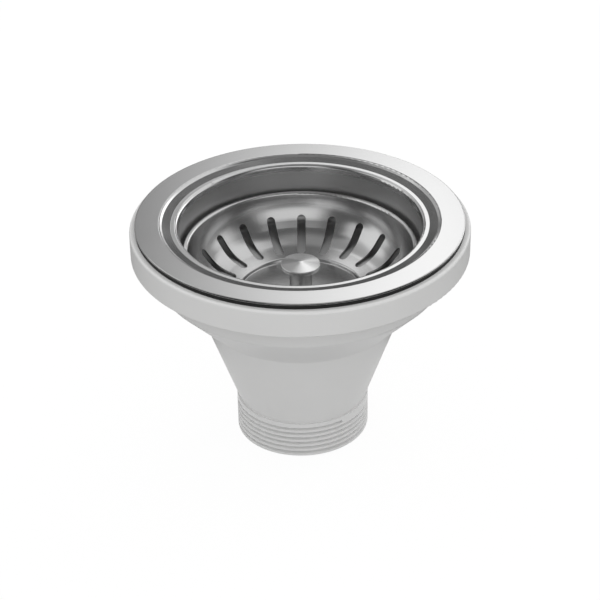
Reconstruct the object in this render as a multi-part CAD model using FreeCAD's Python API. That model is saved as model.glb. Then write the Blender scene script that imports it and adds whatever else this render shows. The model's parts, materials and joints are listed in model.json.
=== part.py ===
import FreeCAD, Part
import math
import os

# A basket strainer waste for a kitchen sink, held together by one screw through its cup.
# Millimetres, +Z up, origin in the middle of the outlet's lower end. The basket is down, as in use.

# Outlet and its pipe thread
outlet_radius = 23.9
outlet_length = 13.9
collar_step = 0.6
thread_pitch = 2.0
thread_depth = 1.3
thread_root_width = 0.4
thread_flank_degrees = 15.0
thread_first_groove = 1.75
thread_overrun = 0.4
thread_groove_count = 6

# White body above the outlet
cone_height = 33.6
waist_margin = 12.0
waist_round = 2.5
step_height = 15.8
shoulder_round = 1.2
shoulder_height = 9.65
rim_height = 9.6
rim_margin = 1.95
rim_edge_round = 0.9
rim_foot_round = 0.5
body_wall = 2.3
chamber_gap = 4.6
mouth_chamfer = 0.8
rim_skin = 2.6
rim_pocket_depth = 4.0
rim_web_thickness = 1.6
rim_web_count = 20

# Boss inside the white body, with its brass insert
boss_radius = 7.0
boss_gap = 1.5
boss_floor = 2.0
boss_web_thickness = 2.2
boss_web_count = 4
insert_radius = 4.4
insert_length = 10.0
insert_groove_depth = 0.4
insert_groove_length = 2.0

# Rubber rings on both sides of the sink deck
flange_gasket_thickness = 1.25
flange_gasket_setback = 0.1
body_gasket_width = 4.6
body_gasket_thickness = 3.0
gasket_side_gap = 0.2
gasket_groove_lip = 2.4

# Steel cup, from the flange's edge inwards
cup_sheet = 0.8
flange_radius = 57.2
flange_edge_round = 0.3
flange_width = 8.55
dish_run = 3.75
dish_drop = 1.4
dish_edge_run = 0.8
dish_edge_drop = 0.7
lip_width = 2.4
press_outer_round = 1.1
press_inner_round = 0.3
well_bend_round = 3.0
sump_skirt = 2.5
sump_bend_round = 2.5
window_margin = 2.9
window_washer_gap = 1.5
window_corner_share = 0.16
spoke_width = 4.0
spoke_count = 4

# Steel basket, from its curled rim inwards
basket_sheet = 0.7
basket_gap = 1.3
basket_rim_depth = 11.2
curl_width = 1.8
curl_length = 2.0
basket_wall_lean = 1.0
basket_wall_height = 6.4
basket_wall_round = 16.0
slope_run = 6.8
slope_height = 8.6
crease_round = 13.0
ring_fall = 2.65
floor_share = 0.687
floor_step_run = 0.7
floor_step_drop = 1.05
seat_gap = 0.3
sump_margin = 0.6
slot_width = 3.1
slot_top_inset = 2.0
slot_foot_inset = 2.1
slot_count = 20
slot_turn_degrees = -0.95

# Turned knob and its stem
knob_radius = 7.05
knob_rim_height = 1.4
knob_crown = 0.8
knob_neck = 0.8
knob_edge_round = 0.3
stem_radius = 4.0
stem_height = 9.5
stem_hole_margin = 0.6

# Rubber plug and its backing plate
stopper_thickness = 3.0
stopper_lip_gap = 0.25
stopper_lip_height = 0.8
stopper_lip_drop = 1.1
stopper_lip_reach = 1.5
stopper_foot_inset = 3.6
plate_thickness = 1.0
plate_margin = 6.0
plate_edge_round = 0.3

# Catch between the basket and the screw
stud_radius = 2.5
stud_grip = 5.5
catch_flange_radius = 8.5
catch_flange_thickness = 1.6
sleeve_wall = 2.05
sleeve_play = 0.15
sleeve_slit_width = 1.2
sleeve_slit_length = 6.0
sleeve_slit_count = 4
sleeve_lip = 0.9
ring_section_radius = 0.65
ring_play = 0.06
ring_side_play = 0.1

# Fixing screw, its washer and its seal
screw_radius = 3.0
screw_length = 16.0
screw_tip_chamfer = 0.6
pillar_radius = 5.0
pillar_height = 8.4
pillar_chamfer = 0.6
pillar_headroom = 0.4
pillar_foot_gap = 0.3
detent_depth = 0.3
detent_width = 1.2
detent_setback = 1.5
driver_slot_width = 1.6
driver_slot_depth = 1.8
washer_thickness = 1.0
washer_radius = 9.0
screw_seal_thickness = 1.5
screw_seal_radius = 8.4

# Shared fits
screw_clearance = 0.2
thread_fit_gap = 0.05
cut_overrun = 1.0

# Heights, from the outlet upwards
outlet_top = outlet_length
cone_top = outlet_top + cone_height
step_top = cone_top + step_height
shoulder_top = step_top + shoulder_height
rim_top = shoulder_top + rim_height
flange_underside = rim_top + flange_gasket_thickness
flange_top = flange_underside + cup_sheet

# Radii, from the flange inwards
dish_radius = flange_radius - flange_width
lip_radius = dish_radius - dish_run
well_radius = lip_radius - lip_width
basket_radius = well_radius - basket_gap
basket_mouth_radius = basket_radius - curl_width
bend_radius = basket_mouth_radius - basket_wall_lean
crease_radius = bend_radius - slope_run
floor_radius = crease_radius * floor_share
ring_inner_radius = floor_radius + floor_step_run
chamber_radius = well_radius + cup_sheet + chamber_gap
shoulder_radius = chamber_radius + body_wall
rim_radius = flange_radius + rim_margin
cone_foot_radius = outlet_radius - collar_step

# Heights of the basket, from its rim down
basket_rim_z = flange_top - basket_rim_depth
bend_z = basket_rim_z - basket_wall_height
crease_z = bend_z - slope_height
ring_inner_z = crease_z - ring_fall
floor_z = ring_inner_z - floor_step_drop
floor_underside = floor_z - basket_sheet

# The seat of the cup lies close below the basket's lower ring, at the ring's slope. The sump and waist follow it.
sump_radius = ring_inner_radius + sump_margin
ring_slope = ring_fall / (crease_radius - ring_inner_radius)
seat_depth = basket_sheet * math.hypot(1, ring_slope) + seat_gap
seat_foot_z = ring_inner_z + sump_margin * ring_slope - seat_depth
seat_top_z = seat_foot_z + (well_radius - sump_radius) * ring_slope
sump_joint_z = seat_foot_z - sump_skirt
plate_radius = sump_radius - plate_margin
waist_radius = sump_radius + waist_margin

# Heights of what hangs below the basket, and of the screw that it slides on
stopper_underside = floor_underside - stopper_thickness
plate_underside = stopper_underside - plate_thickness
catch_shoulder = plate_underside - catch_flange_thickness
pillar_top = catch_shoulder - pillar_headroom
pillar_foot = pillar_top - pillar_height
washer_underside = pillar_foot - washer_thickness
sump_z = washer_underside - screw_seal_thickness
boss_top = sump_z - cup_sheet - boss_gap
screw_tip = pillar_foot - screw_length
insert_foot = boss_top - insert_length
boss_foot = min(insert_foot, screw_tip) - boss_floor
sleeve_foot = pillar_foot + pillar_foot_gap
ring_centre_z = sleeve_foot + sleeve_lip + ring_side_play + ring_section_radius
ring_inner = pillar_radius + ring_play
sleeve_bore = pillar_radius + sleeve_play
sleeve_radius = sleeve_bore + sleeve_wall
stud_top = floor_z + stud_grip


def unit(start, end):
    """Direction from one outline point to the next."""
    run = end[0] - start[0]
    rise = end[1] - start[1]
    length = math.hypot(run, rise)
    return run / length, rise / length


def point(radius, height):
    """Point of an outline, in the upright plane through +X."""
    return FreeCAD.Vector(radius, 0, height)


def offset_line(corners, distance):
    """Open line of (radius, height, bend) corners, moved to its left. Bends keep their centres, or turn sharp."""
    moved = []
    for index, (radius, height, bend) in enumerate(corners):
        into = unit(corners[max(index - 1, 0)], corners[max(index, 1)])
        out = unit(corners[min(index, len(corners) - 2)], corners[min(index + 1, len(corners) - 1)])
        stretch = distance / (1 + into[0] * out[0] + into[1] * out[1])
        turn = into[0] * out[1] - into[1] * out[0]
        end = index in (0, len(corners) - 1)
        change = 0 if end or bend == 0 else -math.copysign(distance, turn)
        moved.append((
            radius - (into[1] + out[1]) * stretch,
            height + (into[0] + out[0]) * stretch,
            max(bend + change, 0),
        ))
    return moved


def outline_face(corners):
    """Flat face inside a closed line of (radius, height, bend) corners, with an arc at each bend."""
    starts = []
    ends = []
    arcs = []
    for index, (radius, height, bend) in enumerate(corners):
        into = unit(corners[index - 1], corners[index])
        out = unit(corners[index], corners[(index + 1) % len(corners)])
        cosine = max(-1, min(1, into[0] * out[0] + into[1] * out[1]))
        half = math.acos(cosine) / 2
        reach = bend * math.tan(half)
        starts.append(point(radius - into[0] * reach, height - into[1] * reach))
        ends.append(point(radius + out[0] * reach, height + out[1] * reach))
        if bend > 0:
            inward = unit(into, out)
            sag = bend / math.cos(half) - bend
            arcs.append(point(radius + inward[0] * sag, height + inward[1] * sag))
        else:
            arcs.append(None)
    edges = []
    for index, middle in enumerate(arcs):
        if middle is not None:
            edges.append(Part.Arc(starts[index], middle, ends[index]).toShape())
        following = starts[(index + 1) % len(corners)]
        if ends[index].distanceToPoint(following) > Part.Precision.confusion():
            edges.append(Part.makeLine(ends[index], following))
    return Part.Face(Part.Wire(edges))


def turned(corners):
    """Solid of revolution about the upright axis."""
    return outline_face(corners).revolve(FreeCAD.Vector(), FreeCAD.Vector(0, 0, 1), 360)


def pressed(front, thickness):
    """Solid of revolution of a bent sheet, from the corners of its seen face."""
    return turned(front + offset_line(front, thickness)[::-1])


def ring(inner, outer, low, high):
    """Plain ring or washer."""
    return turned([(inner, low, 0), (outer, low, 0), (outer, high, 0), (inner, high, 0)])


def disc(radius, low, high):
    """Plain upright cylinder on the axis."""
    return Part.makeCylinder(radius, high - low, FreeCAD.Vector(0, 0, low))


def radial_plate(outline, thickness):
    """Upright plate in the plane through +X, with its thickness shared to both sides."""
    face = outline_face([(radius, height, 0) for radius, height in outline])
    face.translate(FreeCAD.Vector(0, -thickness / 2, 0))
    return face.extrude(FreeCAD.Vector(0, thickness, 0))


def around(shape, count):
    """Copies of a shape, spaced evenly about the axis."""
    copies = []
    for index in range(count):
        copy = shape.copy()
        copy.rotate(FreeCAD.Vector(), FreeCAD.Vector(0, 0, 1), 360 * index / count)
        copies.append(copy)
    return copies


# White body

def thread_groove():
    """Helical groove of the outlet's thread. It starts below the end and runs out behind the collar."""
    near_side_share = 0.75
    run_out_share = 0.1
    start = thread_first_groove - thread_pitch * (1 + near_side_share)
    turns = thread_groove_count + near_side_share + run_out_share
    root = outlet_radius - thread_depth
    mouth = outlet_radius + thread_overrun
    root_half = thread_root_width / 2
    mouth_half = root_half + (mouth - root) * math.tan(math.radians(thread_flank_degrees))
    corners = [point(root, -root_half), point(mouth, -mouth_half), point(mouth, mouth_half), point(root, root_half)]
    profile = Part.makePolygon(corners + corners[:1])
    helix = Part.makeHelix(thread_pitch, thread_pitch * turns, outlet_radius)
    sweep = Part.BRepOffsetAPI.MakePipeShell(Part.Wire(helix.Edges))
    sweep.setFrenetMode(True)
    sweep.add(profile)
    sweep.build()
    sweep.makeSolid()
    groove = sweep.shape()
    groove.translate(FreeCAD.Vector(0, 0, start))
    return groove


outer_line = [
    (cone_foot_radius, outlet_top, 0),
    (waist_radius, cone_top, waist_round),
    (shoulder_radius, step_top, shoulder_round),
    (shoulder_radius, shoulder_top, 0),
]
inner_line = offset_line(outer_line, body_wall)
bore_radius = inner_line[0][0]
cone_slope = (waist_radius - cone_foot_radius) / cone_height
groove_inner = chamber_radius + gasket_groove_lip
groove_outer = groove_inner + body_gasket_width + 2 * gasket_side_gap


def body_shell():
    """White body before its pockets, groove and thread are cut."""
    return turned(
        [(bore_radius, 0, 0), (outlet_radius, 0, 0), (outlet_radius, outlet_top, 0)]
        + outer_line
        + [(rim_radius, shoulder_top, rim_foot_round), (rim_radius, rim_top, rim_edge_round)]
        + [(chamber_radius + mouth_chamfer, rim_top, 0), (chamber_radius, rim_top - mouth_chamfer, 0)]
        + inner_line[-2::-1]
    )


def drain_body():
    """Moulded funnel: rim, shoulder, step, cone and threaded outlet."""
    pocket_inner = shoulder_radius + body_wall
    pocket_outer = rim_radius - rim_skin
    pocket_top = shoulder_top + rim_pocket_depth
    pocket = ring(pocket_inner, pocket_outer, shoulder_top - cut_overrun, pocket_top)
    rim_web = radial_plate(
        [
            (pocket_inner - cut_overrun, shoulder_top - 2 * cut_overrun),
            (pocket_outer + cut_overrun, shoulder_top - 2 * cut_overrun),
            (pocket_outer + cut_overrun, pocket_top + cut_overrun),
            (pocket_inner - cut_overrun, pocket_top + cut_overrun),
        ],
        rim_web_thickness,
    )
    pocket = pocket.cut(around(rim_web, rim_web_count))
    groove = ring(groove_inner, groove_outer, rim_top - body_gasket_thickness, rim_top + cut_overrun)
    return body_shell().cut([pocket, groove, thread_groove()])


def screw_boss():
    """Boss for the brass insert, on four webs that reach the funnel's wall."""
    wall_middle = bore_radius + body_wall / 2 - outlet_top * cone_slope
    boss_web = radial_plate(
        [
            (0, boss_foot),
            (wall_middle + boss_foot * cone_slope, boss_foot),
            (wall_middle + boss_top * cone_slope, boss_top),
            (0, boss_top),
        ],
        boss_web_thickness,
    )
    boss = disc(boss_radius, boss_foot, boss_top).fuse(around(boss_web, boss_web_count)).removeSplitter()
    insert_hole = disc(insert_radius + thread_fit_gap, insert_foot, boss_top + cut_overrun)
    screw_hole = disc(screw_radius + screw_clearance, boss_foot + boss_floor / 2, boss_top)
    return boss.cut([insert_hole, screw_hole, body_shell()])


def thread_insert():
    """Brass insert with one holding groove round it."""
    middle = (insert_foot + boss_top) / 2
    waist = insert_radius - insert_groove_depth
    bore = screw_radius + thread_fit_gap
    return turned([
        (bore, insert_foot, 0),
        (insert_radius, insert_foot, 0),
        (insert_radius, middle - insert_groove_length / 2, 0),
        (waist, middle - insert_groove_length / 2, 0),
        (waist, middle + insert_groove_length / 2, 0),
        (insert_radius, middle + insert_groove_length / 2, 0),
        (insert_radius, boss_top, 0),
        (bore, boss_top, 0),
    ])


# Rubber rings

def body_gasket():
    """Sealing ring in the groove of the white rim, level with the rim's top."""
    inner = groove_inner + gasket_side_gap
    return ring(inner, inner + body_gasket_width, rim_top - body_gasket_thickness, rim_top)


def flange_gasket():
    """Flat sealing ring below the steel flange."""
    inner = dish_radius + cup_sheet
    return ring(inner, flange_radius - flange_gasket_setback, rim_top, flange_underside)


# Steel cup

def strainer_cup():
    """Pressed cup: flange, dish, lip, well and seat, with a short skirt that the sump joins."""
    lip_z = flange_top - dish_drop
    return pressed(
        [
            (flange_radius, flange_top, flange_edge_round),
            (dish_radius, flange_top, press_outer_round),
            (dish_radius - dish_edge_run, flange_top - dish_edge_drop, press_inner_round),
            (lip_radius, lip_z, press_inner_round),
            (well_radius, lip_z, press_outer_round),
            (well_radius, seat_top_z, well_bend_round),
            (sump_radius, seat_foot_z, press_outer_round),
            (sump_radius, sump_joint_z, 0),
        ],
        cup_sheet,
    )


def cup_sump():
    """Sump below the cup's seat, with drain windows in its bottom."""
    sump = pressed(
        [
            (sump_radius, sump_joint_z, 0),
            (sump_radius, sump_z, sump_bend_round),
            (screw_radius + screw_clearance, sump_z, 0),
        ],
        cup_sheet,
    )
    low = sump_z - cup_sheet - cut_overrun
    high = sump_z + cut_overrun
    window_outer = sump_radius - window_margin
    window_inner = washer_radius + window_washer_gap
    windows = ring(window_inner, window_outer, low, high)
    spoke = radial_plate(
        [
            (0, low - cut_overrun),
            (window_outer + cut_overrun, low - cut_overrun),
            (window_outer + cut_overrun, high + cut_overrun),
            (0, high + cut_overrun),
        ],
        spoke_width,
    )
    windows = windows.cut(around(spoke, spoke_count))
    upright = [edge for edge in windows.Edges if edge.BoundBox.ZLength > edge.BoundBox.XLength + edge.BoundBox.YLength]
    corner_round = (window_outer - window_inner) * window_corner_share
    return sump.cut(windows.makeFillet(corner_round, upright))


# Screw through the cup

def fixing_screw():
    """Screw with a tall pillar head that has two shallow detent grooves and a driver slot."""
    waist = pillar_radius - detent_depth
    corners = [
        (0, screw_tip, 0),
        (screw_radius - screw_tip_chamfer, screw_tip, 0),
        (screw_radius, screw_tip + screw_tip_chamfer, 0),
        (screw_radius, pillar_foot, 0),
        (pillar_radius, pillar_foot, 0),
    ]
    for middle in (ring_centre_z, pillar_top - detent_setback):
        corners += [
            (pillar_radius, middle - detent_width / 2, 0),
            (waist, middle - detent_width / 2 + detent_depth, 0),
            (waist, middle + detent_width / 2 - detent_depth, 0),
            (pillar_radius, middle + detent_width / 2, 0),
        ]
    corners += [
        (pillar_radius, pillar_top - pillar_chamfer, 0),
        (pillar_radius - pillar_chamfer, pillar_top, 0),
        (0, pillar_top, 0),
    ]
    half = pillar_radius + cut_overrun
    slot = Part.makeBox(
        2 * half,
        driver_slot_width,
        driver_slot_depth + cut_overrun,
        FreeCAD.Vector(-half, -driver_slot_width / 2, pillar_top - driver_slot_depth),
    )
    return turned(corners).cut(slot)


def screw_washer():
    """Steel washer below the pillar."""
    return ring(screw_radius + screw_clearance, washer_radius, washer_underside, pillar_foot)


def screw_seal():
    """Rubber washer between the steel washer and the cup."""
    return ring(screw_radius + screw_clearance, screw_seal_radius, sump_z, washer_underside)


# Basket

def slot_cutter():
    """Cutter for one slot, which follows the basket's slope and lower ring with round ends."""
    depth = slot_width
    top = (bend_radius, bend_z)
    crease = (crease_radius, crease_z)
    foot = (ring_inner_radius, ring_inner_z)
    down = unit(top, crease)
    inward = unit(crease, foot)
    first_inset = slot_top_inset + slot_width / 2
    last_inset = slot_foot_inset + slot_width / 2
    first = (top[0] + down[0] * first_inset, top[1] + down[1] * first_inset, 0)
    last = (foot[0] - inward[0] * last_inset, foot[1] - inward[1] * last_inset, 0)
    path = [first, (crease[0], crease[1], 0), last]
    band = offset_line(path, depth) + offset_line(path, -depth)[::-1]
    cutter = radial_plate([(radius, height) for radius, height, bend in band], slot_width)
    for end, along in ((first, down), (last, inward)):
        normal = FreeCAD.Vector(-along[1], 0, along[0])
        base = point(end[0], end[1]) - normal * depth
        cutter = cutter.fuse(Part.makeCylinder(slot_width / 2, 2 * depth, base, normal))
    return cutter


def basket_shell():
    """Pressed basket: curled rim, steep wall, slope, lower ring and sunk floor, with slots all round."""
    curl_round = curl_width / 2
    shell = pressed(
        [
            (basket_radius, basket_rim_z - curl_length, 0),
            (basket_radius, basket_rim_z, curl_round),
            (basket_mouth_radius, basket_rim_z, curl_round),
            (bend_radius, bend_z, basket_wall_round),
            (crease_radius, crease_z, crease_round),
            (ring_inner_radius, ring_inner_z, press_outer_round),
            (floor_radius, floor_z, press_inner_round),
            (stud_radius + screw_clearance, floor_z, 0),
        ],
        basket_sheet,
    )
    slots = around(slot_cutter(), slot_count)
    for slot in slots:
        slot.rotate(FreeCAD.Vector(), FreeCAD.Vector(0, 0, 1), slot_turn_degrees)
    return shell.cut(slots)


def lift_knob():
    """Mushroom knob on a stem that stands on the basket's floor, threaded from below."""
    neck_z = floor_z + stem_height
    rim_low = neck_z + knob_neck
    rim_high = rim_low + knob_rim_height
    hole = stud_radius + thread_fit_gap
    hole_top = stud_top + stem_hole_margin
    return turned([
        (hole, floor_z, 0),
        (stem_radius, floor_z, 0),
        (stem_radius, neck_z, knob_edge_round),
        (knob_radius, rim_low, knob_edge_round),
        (knob_radius, rim_high, knob_edge_round),
        (0, rim_high + knob_crown, 0),
        (0, hole_top, 0),
        (hole, hole_top, 0),
    ])


# Rubber plug and catch

def stopper_seal():
    """Rubber plug with a lip that fills the mouth of the sump."""
    lip_radius = sump_radius - stopper_lip_gap
    lip_top = floor_underside - stopper_lip_drop
    return turned([
        (stud_radius + screw_clearance, stopper_underside, 0),
        (lip_radius - stopper_foot_inset, stopper_underside, 0),
        (lip_radius, lip_top - stopper_lip_height, 0),
        (lip_radius, lip_top, 0),
        (lip_radius - stopper_lip_reach, floor_underside, 0),
        (stud_radius + screw_clearance, floor_underside, 0),
    ])


def stopper_plate():
    """Steel plate that backs the rubber plug."""
    hole = stud_radius + screw_clearance
    return turned([
        (hole, plate_underside, 0),
        (plate_radius, plate_underside, plate_edge_round),
        (plate_radius, stopper_underside, plate_edge_round),
        (hole, stopper_underside, 0),
    ])


def catch_sleeve():
    """Split sleeve with a stud above and a groove for the grip ring near its lower end."""
    groove_radius = ring_inner + 2 * ring_section_radius + ring_side_play
    groove_half = ring_section_radius + ring_side_play
    sleeve = turned([
        (0, catch_shoulder, 0),
        (sleeve_bore, catch_shoulder, 0),
        (sleeve_bore, ring_centre_z + groove_half, 0),
        (groove_radius, ring_centre_z + groove_half, 0),
        (groove_radius, ring_centre_z - groove_half, 0),
        (sleeve_bore, ring_centre_z - groove_half, 0),
        (sleeve_bore, sleeve_foot, 0),
        (sleeve_radius, sleeve_foot, 0),
        (sleeve_radius, catch_shoulder, 0),
        (catch_flange_radius, catch_shoulder, 0),
        (catch_flange_radius, plate_underside, 0),
        (stud_radius, plate_underside, 0),
        (stud_radius, stud_top, 0),
        (0, stud_top, 0),
    ])
    slit_low = sleeve_foot - cut_overrun
    slit_high = sleeve_foot + sleeve_slit_length
    slit = radial_plate(
        [
            (pillar_radius, slit_low),
            (sleeve_radius + cut_overrun, slit_low),
            (sleeve_radius + cut_overrun, slit_high),
            (pillar_radius, slit_high),
        ],
        sleeve_slit_width,
    )
    return sleeve.cut(around(slit, sleeve_slit_count))


def catch_ring():
    """Rubber grip ring in the sleeve, round the pillar."""
    middle = FreeCAD.Vector(0, 0, ring_centre_z)
    return Part.makeTorus(ring_inner + ring_section_radius, ring_section_radius, middle)


os.makedirs("parts", exist_ok=True)
pieces = (
    drain_body,
    screw_boss,
    thread_insert,
    body_gasket,
    flange_gasket,
    strainer_cup,
    cup_sump,
    fixing_screw,
    screw_washer,
    screw_seal,
    basket_shell,
    lift_knob,
    stopper_seal,
    stopper_plate,
    catch_sleeve,
    catch_ring,
)
for piece in pieces:
    solid = piece()
    solid.exportStep("parts/" + piece.__name__ + ".step")
    box = solid.BoundBox
    print(piece.__name__, len(solid.Solids), solid.isValid(), round(solid.Volume), round(box.ZMin, 2), round(box.ZMax, 2))
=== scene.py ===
import json
import math

import bpy
from mathutils import Euler, Matrix, Vector


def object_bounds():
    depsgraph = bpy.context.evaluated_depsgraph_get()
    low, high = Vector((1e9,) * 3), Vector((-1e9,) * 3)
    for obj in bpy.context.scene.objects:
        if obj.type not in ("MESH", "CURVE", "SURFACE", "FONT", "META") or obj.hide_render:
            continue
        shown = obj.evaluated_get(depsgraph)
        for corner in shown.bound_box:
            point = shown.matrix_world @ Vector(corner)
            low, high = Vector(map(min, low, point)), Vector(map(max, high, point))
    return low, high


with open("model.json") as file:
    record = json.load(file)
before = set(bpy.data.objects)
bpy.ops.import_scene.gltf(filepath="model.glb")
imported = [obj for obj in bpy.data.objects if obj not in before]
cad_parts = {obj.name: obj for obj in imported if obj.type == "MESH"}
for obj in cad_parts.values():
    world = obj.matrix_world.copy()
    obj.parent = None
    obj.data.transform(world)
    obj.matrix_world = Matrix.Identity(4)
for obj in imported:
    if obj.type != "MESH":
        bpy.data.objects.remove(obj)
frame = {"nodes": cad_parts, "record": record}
cad_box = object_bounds()
nodes = frame["nodes"]

# Camera, at the photograph's place
sensor_width = 36.0
image_side = 600
focal_pixels = 1824
camera_distance = 0.649
camera_elevation = math.radians(31.45)
camera_roll = math.radians(-0.92)
camera_aim = Vector((-0.0004, 0, 0.0512))

# Light
room_light = 0.85
stage_sides = 96
floor_radius = 4.0
floor_tone = 0.5
floor_shade_share = 0.15
tent_radius = 20.0
tent_segments = 64
tent_rings = 32
tent_grey = 0.12
card_grey = 0.02
card_inner_radius = 0.06
card_lift = 0.0005
lamp_distance = 1.2

# The cup's well, which is duller than the flange above it
well_drop = 0.0021
well_top = cad_box[1].z - well_drop
dull_blend = 0.004
dull_roughness = 0.28

# Patterns of the finishes: scales in patches per metre, swings in roughness and reliefs in metres
noise_middle = 0.5
steel_cloud_scale = 60.0
steel_grain_scale = 5200.0
steel_cloud_share = 0.5
steel_deep_share = 0.94
steel_pale_share = 1.05
steel_marks_share = 0.6
steel_relief = 0.00002

plastic_cloud_scale = 45.0
plastic_skin_scale = 1500.0
plastic_deep_share = 0.96
plastic_pale_share = 1.03
plastic_cloud_swing = 0.12
plastic_skin_swing = 0.08
plastic_bump = 0.12
plastic_relief = 0.00004
plastic_ior = 1.46

rubber_bloom_scale = 130.0
rubber_skin_scale = 2600.0
rubber_deep_share = 0.75
rubber_pale_share = 1.4
rubber_roughness = 0.6
rubber_skin_swing = 0.25
rubber_bump = 0.25
rubber_relief = 0.00005
rubber_ior = 1.5

deep_brass = (0.62, 0.43, 0.17, 1.0)
pale_brass = (0.80, 0.62, 0.32, 1.0)
brass_marks_across = 6000.0
brass_marks_along = 2.0
brass_patch_scale = 300.0
brass_roughness = 0.24
brass_marks_swing = 0.15
brass_patch_dulling = 0.08
brass_bump = 0.3
brass_relief = 0.00003


class Measure:
    """A number that changes over a surface. Arithmetic on it adds Math nodes to its finish."""

    def __init__(self, finish, socket):
        self.finish = finish
        self.socket = socket

    def math(self, operation, *others):
        sockets = dict(enumerate((self, *others)))
        return self.finish.measure("ShaderNodeMath", {"operation": operation}, sockets)

    def __add__(self, other):
        return self.math("ADD", other)

    def __sub__(self, other):
        return self.math("SUBTRACT", other)

    def __rsub__(self, other):
        return self.math("MULTIPLY_ADD", -1, other)

    def __mul__(self, other):
        return self.math("MULTIPLY", other)

    def __pow__(self, other):
        return self.math("POWER", other)

    __radd__ = __add__
    __rmul__ = __mul__

    def between(self, low, high):
        """0 below low, 1 above high and smooth between them. High may be the lower one."""
        sockets = {0: self, 1: low, 2: high, 3: 0.0, 4: 1.0}
        return self.finish.measure("ShaderNodeMapRange", {"interpolation_type": "SMOOTHSTEP"}, sockets)

    def swing(self, width):
        """A noise as a change to either side of 0, this wide from end to end."""
        return (self - noise_middle) * width


class Finish:
    """Node tree of one material or of the world."""

    def __init__(self, owner):
        owner.use_nodes = True
        self.owner = owner
        self.tree = owner.node_tree
        self.tree.nodes.clear()

    def node(self, kind, settings=None, sockets=None):
        """New node: its settings are set first, then the values or links of its sockets."""
        made = self.tree.nodes.new(kind)
        for name, value in (settings or {}).items():
            setattr(made, name, value)
        for name, value in (sockets or {}).items():
            if isinstance(value, Measure):
                value = value.socket
            if isinstance(value, bpy.types.NodeSocket):
                self.tree.links.new(value, made.inputs[name])
            else:
                made.inputs[name].default_value = value
        return made

    def measure(self, kind, settings=None, sockets=None):
        return Measure(self, self.node(kind, settings, sockets).outputs[0])

    def place(self):
        """Object coordinates, as a vector socket."""
        return self.node("ShaderNodeTexCoord").outputs["Object"]

    def parts(self, vector):
        """The three numbers of a vector."""
        split = self.node("ShaderNodeSeparateXYZ", None, {0: vector})
        return [Measure(self, output) for output in split.outputs]

    def vector(self, *numbers):
        return self.node("ShaderNodeCombineXYZ", None, dict(enumerate(numbers))).outputs[0]

    def noise(self, vector, scale, detail=3.0, roughness=0.6):
        """Noise from 0 to 1, with its middle at about a half."""
        sockets = {"Vector": vector, "Scale": scale, "Detail": detail, "Roughness": roughness}
        return self.measure("ShaderNodeTexNoise", {"normalize": True}, sockets)

    def turned_marks(self, place, across, along):
        """Fine marks of a tool or a brush that ran round the axis."""
        x, y, z = self.parts(place)
        radius = (x * x + y * y) ** 0.5
        angle = y.math("ARCTAN2", x)
        return self.noise(self.vector(radius * across, angle * along, z * across), scale=1.0)

    def tint(self, share, first, second):
        """Colour between two colours."""
        sockets = {"Factor": share, 6: first, 7: second}
        return self.node("ShaderNodeMix", {"data_type": "RGBA"}, sockets).outputs[2]

    def bump(self, height, strength, distance):
        sockets = {"Height": height, "Strength": strength, "Distance": distance}
        return self.node("ShaderNodeBump", None, sockets).outputs[0]

    def shown(self, shader, output="ShaderNodeOutputMaterial"):
        """Links a shader to the output, and gives back the material or world."""
        self.node(output, None, {"Surface": shader.outputs[0]})
        return self.owner

    def surface(self, **sockets):
        """Principled shader. Names are the shader's own, with _ for a space."""
        named = {name.replace("_", " "): value for name, value in sockets.items()}
        return self.shown(self.node("ShaderNodeBsdfPrincipled", None, named))

    def glow(self, colour, strength=1.0):
        return self.node("ShaderNodeEmission", None, {"Color": colour, "Strength": strength})


def new_finish(name):
    return Finish(bpy.data.materials.new(name))


def grey(level):
    return (level, level, level, 1.0)


# Finishes

def steel(name, tone, roughness, swing, across, along, bump, dull_below=None):
    """Stainless steel with marks round the axis, faint clouding and a matt grain."""
    finish = new_finish(name)
    place = finish.place()
    marks = finish.turned_marks(place, across, along)
    cloud = finish.noise(place, steel_cloud_scale)
    grain = finish.noise(place, steel_grain_scale, detail=2.0, roughness=0.7)
    gloss = roughness + cloud.swing(swing) + marks.swing(swing)
    if dull_below is not None:
        height = finish.parts(place)[2]
        gloss = gloss + height.between(dull_below, dull_below - dull_blend) * dull_roughness
    mottle = cloud * steel_cloud_share + marks * (1 - steel_cloud_share)
    relief = marks * steel_marks_share + grain * (1 - steel_marks_share)
    return finish.surface(
        Base_Color=finish.tint(mottle, grey(tone * steel_deep_share), grey(tone * steel_pale_share)),
        Metallic=1.0,
        Roughness=gloss,
        Normal=finish.bump(relief, bump, steel_relief),
    )


def moulded_plastic(name, colour, roughness):
    """Moulded plastic: nearly even colour, with a faint skin texture and flow clouds."""
    finish = new_finish(name)
    place = finish.place()
    clouds = finish.noise(place, plastic_cloud_scale, detail=4.0)
    skin = finish.noise(place, plastic_skin_scale)
    deep = [level * plastic_deep_share for level in colour] + [1.0]
    pale = [level * plastic_pale_share for level in colour] + [1.0]
    return finish.surface(
        Base_Color=finish.tint(clouds, deep, pale),
        Roughness=roughness + clouds.swing(plastic_cloud_swing) + skin.swing(plastic_skin_swing),
        Normal=finish.bump(skin, plastic_bump, plastic_relief),
        IOR=plastic_ior,
    )


def moulded_rubber(name, tone):
    """Matt rubber with a grainy skin and paler bloom."""
    finish = new_finish(name)
    place = finish.place()
    bloom = finish.noise(place, rubber_bloom_scale, detail=4.0, roughness=0.65)
    skin = finish.noise(place, rubber_skin_scale)
    return finish.surface(
        Base_Color=finish.tint(bloom, grey(tone * rubber_deep_share), grey(tone * rubber_pale_share)),
        Roughness=rubber_roughness + skin.swing(rubber_skin_swing),
        Normal=finish.bump(skin, rubber_bump, rubber_relief),
        IOR=rubber_ior,
    )


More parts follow.
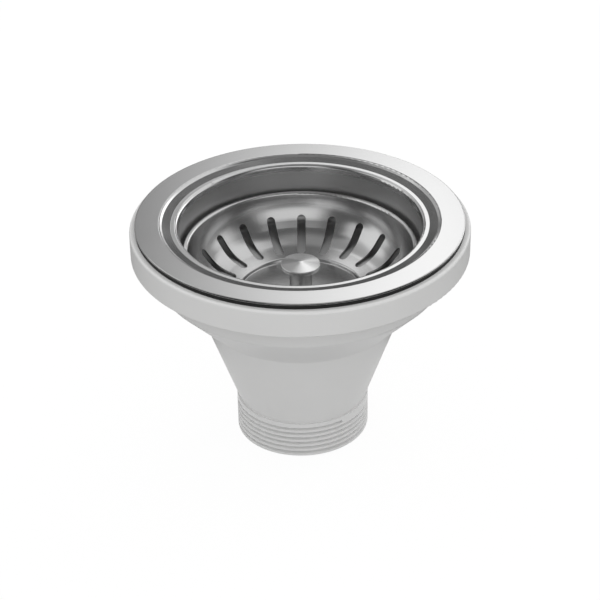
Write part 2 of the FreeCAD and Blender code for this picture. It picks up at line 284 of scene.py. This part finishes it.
def turned_brass(name):
    """Brass with turning marks and paler, duller patches."""
    finish = new_finish(name)
    place = finish.place()
    marks = finish.turned_marks(place, brass_marks_across, brass_marks_along)
    patches = finish.noise(place, brass_patch_scale, detail=4.0)
    return finish.surface(
        Base_Color=finish.tint(patches, deep_brass, pale_brass),
        Metallic=1.0,
        Roughness=brass_roughness + marks.swing(brass_marks_swing) + patches * brass_patch_dulling,
        Normal=finish.bump(marks, brass_bump, brass_relief),
    )


finishes = {
    "white_plastic": moulded_plastic("white_moulded_plastic", colour=(0.74, 0.74, 0.735), roughness=0.42),
    "catch_plastic": moulded_plastic("natural_moulded_plastic", colour=(0.72, 0.70, 0.63), roughness=0.36),
    "black_rubber": moulded_rubber("black_moulded_rubber", tone=0.01),
    "cup_steel": steel(
        "satin_cup_steel", tone=0.64, roughness=0.14, swing=0.04,
        across=2600.0, along=3.0, bump=0.02, dull_below=well_top,
    ),
    "basket_steel": steel(
        "satin_basket_steel", tone=0.64, roughness=0.2, swing=0.04, across=2600.0, along=3.0, bump=0.015
    ),
    "knob_steel": steel(
        "turned_knob_steel", tone=0.64, roughness=0.15, swing=0.04, across=5000.0, along=1.0, bump=0.05
    ),
    "screw_steel": steel(
        "plain_screw_steel", tone=0.58, roughness=0.3, swing=0.08, across=5000.0, along=1.0, bump=0.2
    ),
    "insert_brass": turned_brass("turned_insert_brass"),
}
for part in frame["record"]["subparts"]:
    piece = nodes[part["node"]]
    piece.data.materials.clear()
    piece.data.materials.append(finishes[part["material_slot"]])


# Floor, reflection tent and light

def new_object(name, operator, **settings):
    """New object from an operator that adds one, selected alone and named."""
    bpy.ops.object.select_all(action="DESELECT")
    operator(**settings)
    made = bpy.context.object
    made.name = name
    return made


def seen_directly(finish):
    """1 for rays that come from the camera, or by way of a mirror or glass, and 0 for the light itself."""
    path = finish.node("ShaderNodeLightPath").outputs
    hidden = 1 - Measure(finish, path["Is Camera Ray"])
    hidden = hidden * (1 - Measure(finish, path["Is Glossy Ray"]))
    return 1 - hidden * (1 - Measure(finish, path["Is Transmission Ray"]))


def white_room():
    """White background at full strength where it is seen, and an even light on the object."""
    finish = Finish(bpy.data.worlds.new("white_room"))
    strength = room_light + seen_directly(finish) * (1 - room_light)
    background = finish.node("ShaderNodeBackground", None, {"Color": grey(1.0), "Strength": strength})
    bpy.context.scene.world = finish.shown(background, "ShaderNodeOutputWorld")


def pale_floor():
    """Pale round floor. It looks white, and keeps part of the shadow that falls on it."""
    floor = new_object(
        "pale_floor", bpy.ops.mesh.primitive_circle_add,
        vertices=stage_sides, radius=floor_radius, fill_type="NGON",
    )
    finish = new_finish("pale_floor")
    matt = finish.node("ShaderNodeBsdfDiffuse", None, {"Color": grey(floor_tone)})
    white_share = 1 - floor_shade_share
    white = finish.glow(grey(1.0), (1 - floor_shade_share * floor_tone * room_light) / white_share)
    share = seen_directly(finish) * white_share
    mixed = finish.node("ShaderNodeMixShader", None, {0: share, 1: matt.outputs[0], 2: white.outputs[0]})
    floor.data.materials.append(finish.shown(mixed))


def heading(azimuth, elevation):
    """Direction from the object, with azimuth 0 away from the camera and turning to the right."""
    turn = math.radians(azimuth)
    rise = math.radians(elevation)
    return math.sin(turn) * math.cos(rise), math.cos(turn) * math.cos(rise), math.sin(rise)


# Soft panels of the tent, in degrees. Each has a middle azimuth, then where its light starts, is full,
# is still full and ends: first from left to right of that middle, then from low to high. The last
# number is its strength.
all_round = (-400.0, -300.0, 300.0, 400.0)
tent_panels = (
    (0.0, (-11.0, 7.0, 7.0, 8.6), (22.0, 27.5, 44.0, 54.0), 1.45),
    (12.0, (-9.0, -4.0, 4.0, 8.0), (-8.0, 0.0, 8.0, 15.0), 0.7),
    (-9.0, (-7.0, -3.0, 2.0, 4.5), (-6.0, 2.0, 12.0, 17.0), 0.9),
    (20.0, (-4.5, -1.0, 4.0, 10.0), (24.0, 32.0, 55.0, 63.0), 1.05),
    (8.0, (-1.5, -0.3, 0.6, 1.4), (30.5, 33.0, 40.0, 45.0), 0.7),
    (-8.0, (-2.2, -1.0, 0.3, 1.5), (29.5, 31.5, 40.0, 45.0), 0.3),
    (5.0, (-4.0, -2.0, 1.2, 2.4), (20.5, 22.0, 24.0, 26.5), 0.5),
    (-110.0, (-14.0, -6.0, 8.0, 16.0), (24.0, 33.0, 44.0, 52.0), 0.6),
    (60.0, (-36.0, -30.0, 20.0, 50.0), (-8.0, 4.0, 55.0, 85.0), 0.8),
    (35.0, (-18.0, -15.0, 15.0, 30.0), (-8.0, 0.0, 20.0, 33.0), 1.1),
    (-22.0, (-16.0, -4.0, 4.0, 8.0), (32.0, 42.0, 54.0, 64.0), 0.75),
    (-60.0, (-50.0, -35.0, 35.0, 48.0), (0.0, 12.0, 48.0, 78.0), 0.42),
    (-78.0, (-25.0, -14.0, 14.0, 28.0), (5.0, 14.0, 36.0, 48.0), 0.45),
    (172.0, (-50.0, -22.0, 22.0, 45.0), (2.0, 20.0, 41.0, 49.0), 0.75),
    (0.0, all_round, (55.0, 80.0, 300.0, 400.0), 0.2),
)


def window(value, start, full, still_full, end):
    """1 in the middle of a span, and 0 outside it."""
    return value.between(start, full) * value.between(end, still_full)


def only_in_reflections(piece):
    """Makes a piece of the stage one that only shiny surfaces see."""
    for ray in ("camera", "diffuse", "transmission", "volume_scatter", "shadow"):
        setattr(piece, "visible_" + ray, False)


def reflection_tent():
    """Grey tent with soft panels, which only shiny surfaces see."""
    tent = new_object(
        "reflection_tent", bpy.ops.mesh.primitive_uv_sphere_add,
        segments=tent_segments, ring_count=tent_rings, radius=tent_radius,
    )
    finish = new_finish("reflection_tent")
    unit = finish.node("ShaderNodeVectorMath", {"operation": "NORMALIZE"}, {0: finish.place()})
    x, y, z = finish.parts(unit.outputs[0])
    elevation = z.math("ARCSINE").math("DEGREES")
    light = tent_grey
    for middle, across, upwards, strength in tent_panels:
        right, ahead, _ = heading(middle, 0)
        azimuth = (x * ahead - y * right).math("ARCTAN2", x * right + y * ahead).math("DEGREES")
        light = window(azimuth, *across) * window(elevation, *upwards) * strength + light
    tent.data.materials.append(finish.shown(finish.glow(finish.vector(light, light, light))))
    only_in_reflections(tent)


def dark_card():
    """Dark ring of card on the floor, which gives the steel its dark lower edges."""
    middle = (0, 0, card_lift)
    card = new_object(
        "dark_card", bpy.ops.mesh.primitive_circle_add,
        vertices=stage_sides, radius=floor_radius, fill_type="NOTHING", location=middle,
    )
    bpy.ops.object.mode_set(mode="EDIT")
    bpy.ops.mesh.extrude_edges_move()
    bpy.ops.transform.resize(value=(card_inner_radius / floor_radius,) * 3, center_override=middle)
    bpy.ops.object.mode_set(mode="OBJECT")
    finish = new_finish("dark_card")
    card.data.materials.append(finish.shown(finish.glow(grey(card_grey))))
    only_in_reflections(card)


def soft_lamp(name, azimuth, elevation, side, watts):
    """Square soft lamp that faces the object, and that shiny surfaces don't see."""
    away = Vector(heading(azimuth, elevation))
    lamp = new_object(name, bpy.ops.object.light_add, type="AREA", location=camera_aim + away * lamp_distance)
    lamp.rotation_euler = away.to_track_quat("Z", "Y").to_euler()
    lamp.data.size = side
    lamp.data.energy = watts
    lamp.visible_glossy = False


white_room()
pale_floor()
reflection_tent()
dark_card()
soft_lamp("right_lamp", azimuth=45.0, elevation=22.0, side=0.7, watts=2.2)
soft_lamp("left_lamp", azimuth=-50.0, elevation=22.0, side=0.7, watts=0.6)
soft_lamp("front_lamp", azimuth=180.0, elevation=8.0, side=0.9, watts=2.8)


# Camera

towards_camera = Vector((0, -math.cos(camera_elevation), math.sin(camera_elevation)))
upright_turn = Euler((math.pi / 2 - camera_elevation, 0, 0)).to_matrix()
camera = new_object(
    "photograph_camera", bpy.ops.object.camera_add,
    location=camera_aim + towards_camera * camera_distance,
    rotation=(upright_turn @ Matrix.Rotation(camera_roll, 3, "Z")).to_euler(),
)
camera.data.sensor_width = sensor_width
camera.data.lens = focal_pixels / image_side * sensor_width
bpy.context.scene.camera = camera
bpy.context.scene.view_settings.view_transform = "Standard"
